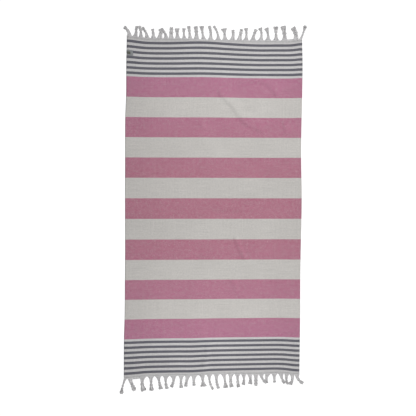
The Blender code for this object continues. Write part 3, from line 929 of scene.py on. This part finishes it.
def cutYarns(end, chance):  # one tassel was cut off at each end, and its yarns are short
    middle, half, reach = cutTassel[end]
    upVaries, sideVaries = cutTassel["upVaries"], cutTassel["sideVaries"]
    outward = 1 if end == "top" else -1
    rods = []
    for away in np.arange(-half, half, cutTassel["pitch"]):
        x, y = rimPlace(end, (middle + away) / endWidth(end))
        rounded = 1 - cutTassel["rounded"] * (away / half) ** 2
        long = tassel["edge"] + reach * rounded * chance.uniform(*cutTassel["uneven"])
        t = np.linspace(0.0, 1.0, tassel["threadRings"] + 1)
        height = liftAt(x, y) * (1 - t) + cutTassel["up"] + chance.uniform(-upVaries, upVaries)
        sideways = chance.uniform(-sideVaries, sideVaries)
        path = np.stack([x + sideways * t, y + outward * long * t, height], axis=1)
        thick = tassel["yarnHalf"] * (1 - cutTassel["thinner"] * t**3)
        rods.append((path, thick, thick))
    return rods


def makeTassels(end, finish):
    chance = random.Random(tassel["seeds"][end])
    yarns, threads = [], []
    for number, (row, reach) in enumerate(zip(tassel[end], rootReaches(end))):
        line = Line(end, number)
        yarns += plaitTassel(line, row, reach, chance)
        threads += looseThreads(line, row, chance)
    name, yarnSides, threadRings = end.capitalize(), tassel["yarnSides"], tassel["threadRings"]
    pieces = [
        bendRods("tassels" + name, yarnSides, tassel["rings"], yarns, finish),
        bendRods("cutYarns" + name, yarnSides, threadRings, cutYarns(end, chance), finish),
        bendRods("looseThreads" + name, tassel["threadSides"], threadRings, threads, finish),
    ]
    for piece in pieces:
        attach(piece, "root")
        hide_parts("fringe_" + end)
    return pieces


yarnCotton = makeYarnCotton("yarnCotton", tassel["paintedStemShade"])
onCloth = makeTassels("top", yarnCotton) + makeTassels("bottom", yarnCotton)
print("tassels twisted")


# The heading that holds the warps at each end, overcast with a thicker thread

heading = {
    "middle": 0.0015,  # from the end of the cloth
    "halfWidth": 0.0021,
    "halfDepth": 0.0010,
    "stitch": 0.0026,
    "ringsInStitch": 4,
    "sides": 8,
    "bulge": 0.16,
}


def makeHeading(end, finish):
    outward = 1 if end == "top" else -1
    stitches = round(endWidth(end) / heading["stitch"])
    rings = stitches * heading["ringsInStitch"]
    across = np.linspace(0.0, 1.0, rings + 1)
    x, y = rimPlace(end, across)
    bulge = 1 + heading["bulge"] * np.cos(2 * math.pi * np.arange(rings + 1) / heading["ringsInStitch"])
    deep = heading["halfDepth"] * bulge
    path = np.stack([x, y + outward * heading["middle"], lift(x, y) + deep], axis=1)
    rods = [(path, heading["halfWidth"] * bulge, deep)]
    piece = bendRods("heading" + end.capitalize(), heading["sides"], rings, rods, finish)
    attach(piece, "root")
    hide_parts("fringe_" + end)
    return piece


headingCotton = makeYarnCotton("headingCotton", 1.0)
onCloth += [makeHeading(end, headingCotton) for end in ("top", "bottom")]
print("headings sewn")


# The blank label near the left selvedge

label = {
    "left": labelCorner[0],
    "right": -0.4145,
    "low": 0.7880,
    "high": labelCorner[1],
    "slant": 0.0040,
    "over": 0.0003,  # between it and the cloth
    "thickness": 0.0006,
    "cells": (24, 16),
    "ribPitch": 0.0007,
    # painted shade in the grooves between the tape's ribs
    "paintedRibShade": 0.85,
    "mottle": 0.08,
    "mottleScale": 700.0,
    "ribBump": (0.0002, 0.5),  # depth, strength
    "patch": (0.02, 0.56, 0.27, 0.73),  # where the darker yarn shows: from left to right, from low to high
    "patchSoft": 0.05,
    "stitches": 8,
    "stitchSides": 6,
    "stitchHalf": 0.00035,
    "stitchIn": 0.0018,
    "stitchSpan": (0.12, 0.88),  # of its share of the label's height
    "stitchRise": (-0.3, 0.5, 0.75, 0.75, 0.5, -0.3),  # along it, counted in its half thickness
}


def labelPlace(across, up):
    x = label["left"] + (label["right"] - label["left"]) * across
    y = label["low"] + (label["high"] - label["low"]) * up - label["slant"] * across
    return x, y


def makeLabelTape():
    material, tree, shader = newFinish("labelTape", roughness=0.70, sheen=0.15)
    place, u, v = uvPlace(tree, "tape")
    tapeRibs = ribs(tree, v, label["ribPitch"])
    share = calc(tree, "DIVIDE", v, label["high"] - label["low"])
    patch = 1.0
    for value, low, high in ((u, *label["patch"][:2]), (share, *label["patch"][2:])):
        away = calc(tree, "ABSOLUTE", calc(tree, "SUBTRACT", value, (low + high) / 2))
        half, soft = (high - low) / 2, label["patchSoft"] / 2
        patch = calc(tree, "MULTIPLY", patch, spread(tree, away, half - soft, half + soft, 1.0, 0.0))
    colour = blendColours(tree, "MIX", patch, colours["label"], colours["labelPatch"])
    # painted shade: darker in the grooves between the ribs
    tone = spread(tree, tapeRibs, 0.0, 1.0, label["paintedRibShade"], 1.0)
    tone = mottled(tree, tone, noise(tree, place, label["mottleScale"]), label["mottle"])
    paint(tree, shader, colour, tone)
    bumpOn(tree, shader, tapeRibs, *label["ribBump"])
    return material


def makeLabel(finish, thread):
    mesh = bmesh.new()
    bmesh.ops.create_grid(mesh, x_segments=label["cells"][0], y_segments=label["cells"][1], size=0.5)
    layer = mesh.loops.layers.uv.new("tape")
    for face in mesh.faces:
        for loop in face.loops:
            co = loop.vert.co
            loop[layer].uv = (co.x + 0.5, (co.y + 0.5) * (label["high"] - label["low"]))
    for vert in mesh.verts:
        across, up = vert.co.x + 0.5, vert.co.y + 0.5
        x, y = labelPlace(across, up)
        z = liftAt(x, y) + clothValues["thickness"] + weft["stripeRise"]
        vert.co = (x + shift[0], y + shift[1], z + label["over"])
    data = bpy.data.meshes.new("label")
    mesh.to_mesh(data)
    mesh.free()
    data.shade_smooth()
    data.materials.append(finish)
    tape = bpy.data.objects.new("blankLabel", data)
    bpy.context.scene.collection.objects.link(tape)
    thickness = tape.modifiers.new("thickness", "SOLIDIFY")
    thickness.thickness = label["thickness"]
    thickness.offset = 1.0

    rods = []
    fromSide = label["stitchIn"] / (label["right"] - label["left"])
    points, (spanLow, spanHigh) = len(label["stitchRise"]), label["stitchSpan"]
    rise = np.array(label["stitchRise"]) * label["stitchHalf"] + label["thickness"]
    half = np.full(points, label["stitchHalf"])
    for across in (fromSide, 1 - fromSide):
        for k in range(label["stitches"]):
            up = np.linspace(k + spanLow, k + spanHigh, points) / label["stitches"]
            x, y = labelPlace(np.full(points, across), up)
            z = lift(x, y) + clothValues["thickness"] + weft["stripeRise"] + label["over"]
            rods.append((np.stack([x, y, z + rise], axis=1), half, half))
    stitches = bendRods("labelStitches", label["stitchSides"], points - 1, rods, thread)
    for piece in (tape, stitches):
        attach(piece, "root")
        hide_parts("label")
    return [tape, stitches]


# painted shade in the crevices between the sewing thread's strands
sewing = {"strands": 2.0, "turnLength": 0.0009, "paintedStrandShade": 0.8, "strandBump": (0.0001, 0.5)}


def makeSewingThread():
    material, tree, shader = newFinish("sewingThread", roughness=0.75, sheen=0.15)
    strands = twisted(tree, *uvPlace(tree, "yarn")[1:], sewing)
    # painted shade: darker between the thread's strands
    tone = spread(tree, strands, 0.0, 1.0, sewing["paintedStrandShade"], 1.0)
    paint(tree, shader, colours["thread"], tone)
    bumpOn(tree, shader, strands, *sewing["strandBump"])
    return material


onCloth += makeLabel(makeLabelTape(), makeSewingThread())
print("label sewn on")


# The floor, the lights and the camera

studio = {
    "floorSize": 14.0,
    "floorGlow": 0.92,
    "lightPlace": (3.2, 1.1, 4.4),
    "lightSize": 2.4,
    "lightPower": 167.0,
    "overLights": (("overTop", 0.06, 0.68, 1.96), ("overBottom", -0.01, -0.68, 2.32)),  # soft, over each half
    "overHeight": 0.65,
    "overSize": 0.8,
    "sky": (0.93, 0.95, 1.0),
    "skyStrength": 0.26,
    "cameraOver": (-0.0317, 0.0079),
    "frameWidth": 2.1273,  # what the photograph takes in at the cloth
    "lens": 85.0,
    "sensor": 36.0,
}


def makeStudio():
    scene = bpy.context.scene
    mesh = bmesh.new()
    bmesh.ops.create_grid(mesh, x_segments=1, y_segments=1, size=studio["floorSize"] / 2)
    data = bpy.data.meshes.new("floor")
    mesh.to_mesh(data)
    mesh.free()
    material = bpy.data.materials.new("paleFloor")
    material.use_nodes = True
    shader = material.node_tree.nodes["Principled BSDF"]
    shader.inputs["Base Color"].default_value = (*colours["floor"], 1.0)
    shader.inputs["Roughness"].default_value = 0.9
    shader.inputs["Specular IOR Level"].default_value = 0.0
    shader.inputs["Emission Color"].default_value = (1.0, 1.0, 1.0, 1.0)
    shader.inputs["Emission Strength"].default_value = studio["floorGlow"]
    data.materials.append(material)
    floor = bpy.data.objects.new("floor", data)
    scene.collection.objects.link(floor)

    lights = [("sideLight", studio["lightPlace"], (0.0, 0.0, 0.0), studio["lightSize"], studio["lightPower"])]
    for name, x, y, power in studio["overLights"]:
        lights.append((name, (x, y, studio["overHeight"]), (x, y / 2, 0.0), studio["overSize"], power))
    for name, place, aim, size, power in lights:
        lamp = bpy.data.lights.new(name, "AREA")
        lamp.shape = "SQUARE"
        lamp.size = size
        lamp.energy = power
        light = bpy.data.objects.new(name, lamp)
        light.location = place
        light.rotation_euler = (Vector(aim) - Vector(place)).to_track_quat("-Z", "Y").to_euler()
        light.visible_camera = False
        scene.collection.objects.link(light)

    world = bpy.data.worlds.new("studio")
    world.use_nodes = True
    sky = world.node_tree.nodes["Background"]
    sky.inputs[0].default_value = (*studio["sky"], 1.0)
    sky.inputs[1].default_value = studio["skyStrength"]
    scene.world = world

    lens = bpy.data.cameras.new("camera")
    lens.lens = studio["lens"]
    lens.sensor_width = studio["sensor"]
    camera = bpy.data.objects.new("camera", lens)
    x, y = studio["cameraOver"]
    away = studio["frameWidth"] * studio["lens"] / studio["sensor"]
    camera.location = (x + shift[0], y + shift[1], away + clothValues["thickness"])
    scene.collection.objects.link(camera)
    scene.camera = camera
    scene.view_settings.view_transform = "Standard"


makeStudio()
print("studio ready")
